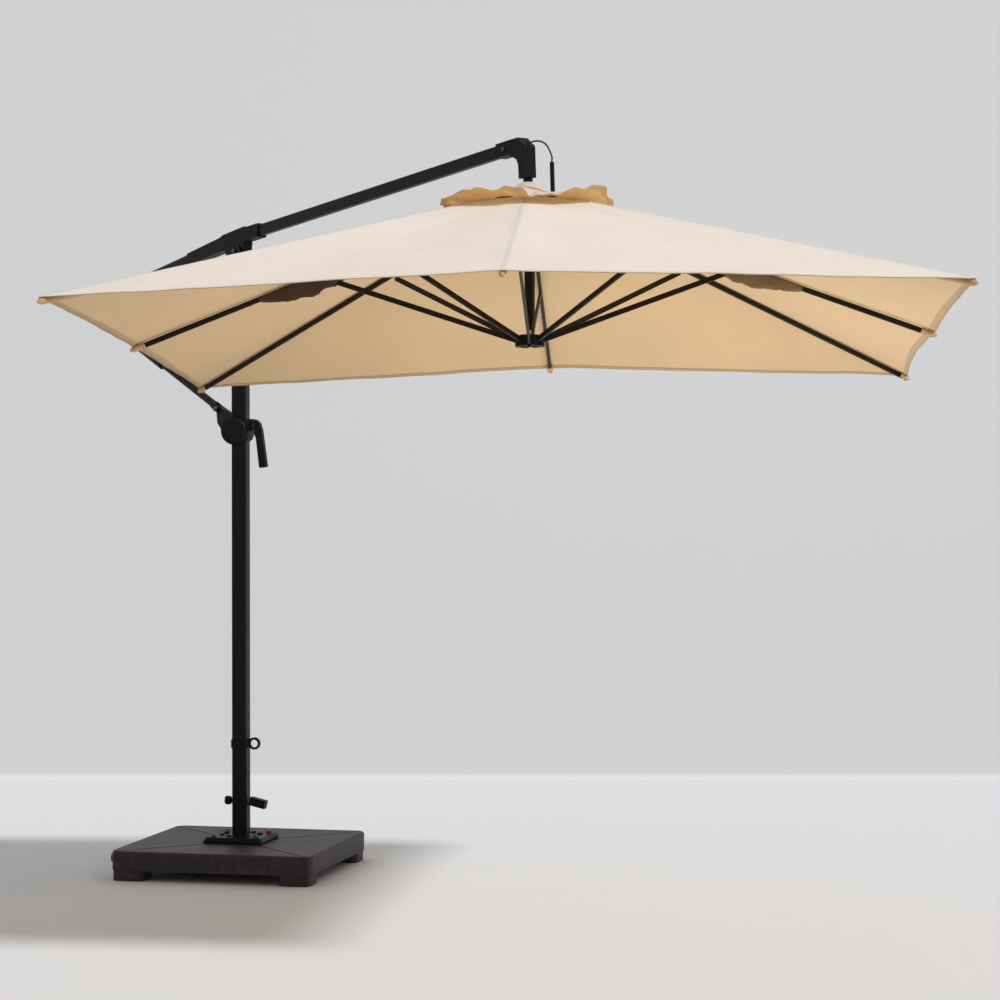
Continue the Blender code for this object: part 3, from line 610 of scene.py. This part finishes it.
# ---- the crank cord, at the part's own points --------------------------------------------
CORD_RADIUS = 0.003
ARM_JOIN = Vector((0, 0, 2.480))
ARM_SLOPE = math.atan(0.1017)
SLEEVE_TOP = Vector((2.060, 0.0, 2.600))
SLEEVE_BOTTOM = Vector((2.066, 0.0, 2.482))


def cord_route():
    """From the elbow, over, through the stiff sleeve and the vent, down to the runner."""
    arm = Vector((math.cos(ARM_SLOPE), 0, math.sin(ARM_SLOPE)))
    gap_way = math.radians(-67.5)

    def beside_post(radius, height):
        return CROWN @ Vector((radius * math.cos(gap_way), radius * math.sin(gap_way), height))

    inside = [ARM_JOIN + arm * along for along in (1.7, 1.88, 1.94)]
    arc = [Vector((1.985, 0, 2.677)), Vector((2.030, 0, 2.659))]
    stiff = [SLEEVE_TOP.lerp(SLEEVE_BOTTOM, share) for share in (-0.17, 0.0, 0.5, 1.0, 1.12)]
    under = [beside_post(0.105, -0.050), beside_post(0.066, -0.062), beside_post(0.058, -0.11),
             beside_post(0.050, -0.32), beside_post(0.042, -0.502)]
    return inside + arc + stiff + under


def smooth_route(points, steps):
    """A Catmull-Rom curve through the points."""
    ends = [2 * points[0] - points[1]] + points + [2 * points[-1] - points[-2]]
    made = []
    for a, b, c, d in zip(ends, ends[1:], ends[2:], ends[3:]):
        for k in range(steps):
            t = k / steps
            made.append(0.5 * ((2 * b) + (c - a) * t + (2 * a - 5 * b + 4 * c - d) * t * t
                               + (3 * b - a - 3 * c + d) * t ** 3))
    return made + [points[-1]]


def cord():
    points = smooth_route(cord_route(), 8)
    curve = bpy.data.curves.new("crank_cord_braid", "CURVE")
    curve.dimensions = "3D"
    curve.bevel_depth = CORD_RADIUS
    curve.bevel_resolution = 4
    spline = curve.splines.new("POLY")
    spline.points.add(len(points) - 1)
    for spot, point in zip(spline.points, points):
        spot.co = (*point, 1.0)
    curve.materials.append(cord_weave())
    made = bpy.data.objects.new("crank_cord_braid", curve)
    bpy.context.scene.collection.objects.link(made)
    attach(made, "arm")
    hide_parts("crank_cord")


# ---- floor, light and camera -------------------------------------------------------------
EYE = Vector((9.7855, -5.6678, 1.6146))
EYE_AZIMUTH = math.radians(54.767)
EYE_PITCH = math.radians(-0.8319)
WALL_AWAY = 14.47                      # from the eye, along the floor
WALL_HIGH = 14.0
WALL_BEND = 0.03                       # radius where the floor turns up
HALF_WIDE = 40.0                       # of the floor and the wall
FLOOR_NEAR, FLOOR_FAR = -34.0, WALL_AWAY + 24.0
FLOOR_DROP = 0.0005                    # keeps the floor clear of the feet
CROWN_AWAY = 1.9                       # from the mast to under the canopy's middle
PAPER = (0.655, 0.66, 0.668)


def sight():
    return Vector((-math.sin(EYE_AZIMUTH), math.cos(EYE_AZIMUTH), 0))


def studio():
    """A pale floor that turns up into a pale wall, which is clear when seen from its back."""
    away = sight()
    across = Vector((away.y, -away.x, 0))
    foot = WALL_AWAY - WALL_BEND
    profile = [(foot, 0.0)]
    for k in range(1, 12):
        turn = math.radians(90 * k / 12)
        profile.append((foot + WALL_BEND * math.sin(turn), WALL_BEND - WALL_BEND * math.cos(turn)))
    profile += [(WALL_AWAY, WALL_BEND), (WALL_AWAY, WALL_HIGH)]
    maker = bmesh.new()
    ground = Vector((EYE.x, EYE.y, -FLOOR_DROP))
    for strip in (profile, [(FLOOR_NEAR, 0.0), (FLOOR_FAR, 0.0)]):
        rows = []
        for out, up in strip:
            middle = ground + away * out + UP * up
            rows.append([maker.verts.new(middle - across * HALF_WIDE),
                         maker.verts.new(middle + across * HALF_WIDE)])
        for low, high in zip(rows, rows[1:]):
            maker.faces.new((low[0], low[1], high[1], high[0]))
    mesh = bpy.data.meshes.new("studio")
    maker.to_mesh(mesh)
    maker.free()
    for face in mesh.polygons:
        face.use_smooth = True
    made = Shader("studio_paper")
    made.put(made.surface, "Base Color", rgba(PAPER))
    made.put(made.surface, "Roughness", 0.9)
    made.put(made.surface, "Specular IOR Level", 0.1)
    behind = made.add("ShaderNodeNewGeometry")
    clear = made.add("ShaderNodeBsdfTransparent")
    blend = made.add("ShaderNodeMixShader")
    made.put(blend, "Fac", behind.outputs["Backfacing"])
    made.put(blend, "1", made.surface.outputs[0])
    made.put(blend, "2", clear.outputs[0])
    made.put(made.output, "Surface", blend.outputs[0])
    mesh.materials.append(made.material)
    floor = bpy.data.objects.new("studio", mesh)
    bpy.context.scene.collection.objects.link(floor)


def lamp(name, kind, energy, place, target, **settings):
    light = bpy.data.lights.new(name, kind)
    light.energy = energy
    for key, value in settings.items():
        setattr(light, key, value)
    made = bpy.data.objects.new(name, light)
    made.location = place
    made.rotation_euler = (target - place).to_track_quat("-Z", "Y").to_euler()
    bpy.context.scene.collection.objects.link(made)


def lights():
    away = sight()
    right = Vector((away.y, -away.x, 0))
    middle = Vector((0.9, 0, 1.2))
    lamp("key", "SUN", 2.6, middle + right * 5.6 + UP * 6.0 - away * 3.6, middle,
         angle=math.radians(6))
    below = Vector((CROWN_AWAY, 0, 0.5)) + right * 0.7
    lamp("glow", "AREA", 38, below, Vector((CROWN_AWAY, 0, 2.4)) + right * 0.5, size=2.6)
    world = bpy.data.worlds.new("sky")
    world.use_nodes = True
    world.node_tree.nodes["Background"].inputs["Color"].default_value = (1, 1, 1, 1)
    world.node_tree.nodes["Background"].inputs["Strength"].default_value = 0.50
    bpy.context.scene.world = world


def camera():
    data = bpy.data.cameras.new("eye")
    data.sensor_width = 36
    data.lens = 103.467
    data.clip_end = 200
    made = bpy.data.objects.new("eye", data)
    made.location = EYE
    away = sight() * math.cos(EYE_PITCH) + UP * math.sin(EYE_PITCH)
    made.rotation_euler = away.to_track_quat("-Z", "Y").to_euler()
    bpy.context.scene.collection.objects.link(made)
    bpy.context.scene.camera = made


def main():
    dress_the_frame()
    canopy()
    cord()
    studio()
    lights()
    camera()
    scene = bpy.context.scene
    scene.view_settings.view_transform = "Standard"
    scene.view_settings.look = "None"


main()
